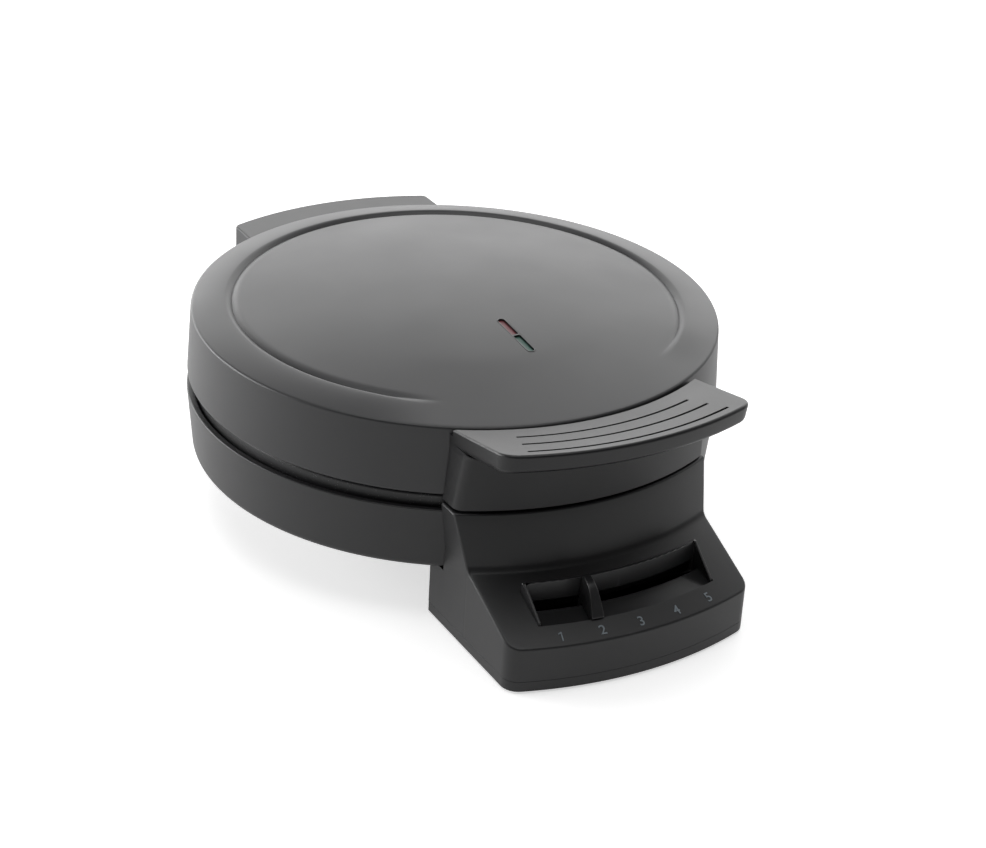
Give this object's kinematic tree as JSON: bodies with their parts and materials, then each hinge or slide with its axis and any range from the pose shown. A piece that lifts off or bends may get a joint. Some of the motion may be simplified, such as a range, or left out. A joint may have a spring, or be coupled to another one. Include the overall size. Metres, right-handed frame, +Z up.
{
  "type": "waffle iron",
  "caption": "Round electric waffle iron: a domed lid with a sloping handle hinges at the back over a round base, with a temperature slider in a sloping front housing.",
  "frame": {"origin": "centre of the footprint, on the surface that the feet stand on", "axes": "+Z up, the front with the handle and the slider faces -Y, +X is to the right seen from the front"},
  "size_m": [0.2176, 0.28, 0.0956],
  "materials": {
    "lid_plastic": "satin charcoal",
    "satin_plastic": "satin black",
    "gloss_plastic": "glossy black",
    "coated_aluminium": "cast, dark speckled non-stick coating",
    "sheet_aluminium": "plain sheet",
    "heater_steel": "dull heat-stained tube",
    "bare_steel": "zinc-bright steel",
    "rubber": "matt black",
    "ceramic": "off-white insulating",
    "lamp_glass": "clear lamp",
    "red_lens": "translucent red",
    "green_lens": "translucent green"
  },
  "bodies": {
    "base": {"base_shell": "satin_plastic", "lower_plate": "coated_aluminium", "lower_heater": "heater_steel", "lower_heat_shield": "sheet_aluminium", "lower_shield_screw": "bare_steel", "lower_plate_screw_1": "bare_steel", "lower_plate_screw_2": "bare_steel", "lower_plate_screw_3": "bare_steel", "control_housing": "satin_plastic", "control_bottom_cover": "satin_plastic", "control_cover_screw_1": "bare_steel", "control_cover_screw_2": "bare_steel", "control_cover_screw_3": "bare_steel", "control_cover_screw_4": "bare_steel", "slider_track": "gloss_plastic", "thermostat": "ceramic", "thermostat_bracket": "bare_steel", "thermal_fuse": "bare_steel", "rear_housing": "satin_plastic", "rear_bottom_cover": "satin_plastic", "rear_cover_screw_1": "bare_steel", "rear_cover_screw_2": "bare_steel", "housing_screw_1": "bare_steel", "housing_screw_2": "bare_steel", "housing_screw_3": "bare_steel", "housing_screw_4": "bare_steel", "hinge_rod": "bare_steel", "cord_gland": "rubber", "terminal_block": "ceramic", "live_lead": "ceramic", "neutral_lead": "ceramic", "front_foot_left": "rubber", "front_foot_right": "rubber", "rear_foot_left": "rubber", "rear_foot_right": "rubber"},
    "lid": {"lid_shell": "lid_plastic", "upper_plate": "coated_aluminium", "upper_heater": "heater_steel", "upper_heat_shield": "sheet_aluminium", "upper_shield_screw": "bare_steel", "upper_plate_screw_1": "bare_steel", "upper_plate_screw_2": "bare_steel", "upper_plate_screw_3": "bare_steel", "lid_handle": "satin_plastic", "handle_screw_1": "bare_steel", "handle_screw_2": "bare_steel", "lid_rear_cover": "satin_plastic", "rear_side_screw_1": "bare_steel", "rear_side_screw_2": "bare_steel", "indicator_bezel": "gloss_plastic", "red_lens": "red_lens", "green_lens": "green_lens", "lamp_holder": "satin_plastic", "red_lamp": "lamp_glass", "green_lamp": "lamp_glass"},
    "slider": {"slider_carriage": "gloss_plastic", "slider_knob": "gloss_plastic"},
    "thermostat_spindle": {"thermostat_pinion": "gloss_plastic", "thermostat_shaft": "bare_steel"}
  },
  "joints": [
    {"name": "lid_hinge", "type": "hinge", "parent": "base", "child": "lid", "pos_m": [0, 0.1285, 0.0566], "axis": [-1, 0, 0], "range_deg": [0, 100]},
    {"name": "temperature_slider", "type": "hinge", "parent": "base", "child": "slider", "pos_m": [0, 0.014, 0.0085], "axis": [0, 0, 1], "range_deg": [-6.25, 18.75]},
    {"name": "thermostat_turn", "type": "hinge", "parent": "base", "child": "thermostat_spindle", "pos_m": [0, -0.0829, 0.0085], "axis": [0, 0, 1], "range_deg": [-66, 197.5]}
  ],
  "couplings": [
    {"joint": "thermostat_turn", "follows": "temperature_slider", "ratio": 10.5}
  ]
}
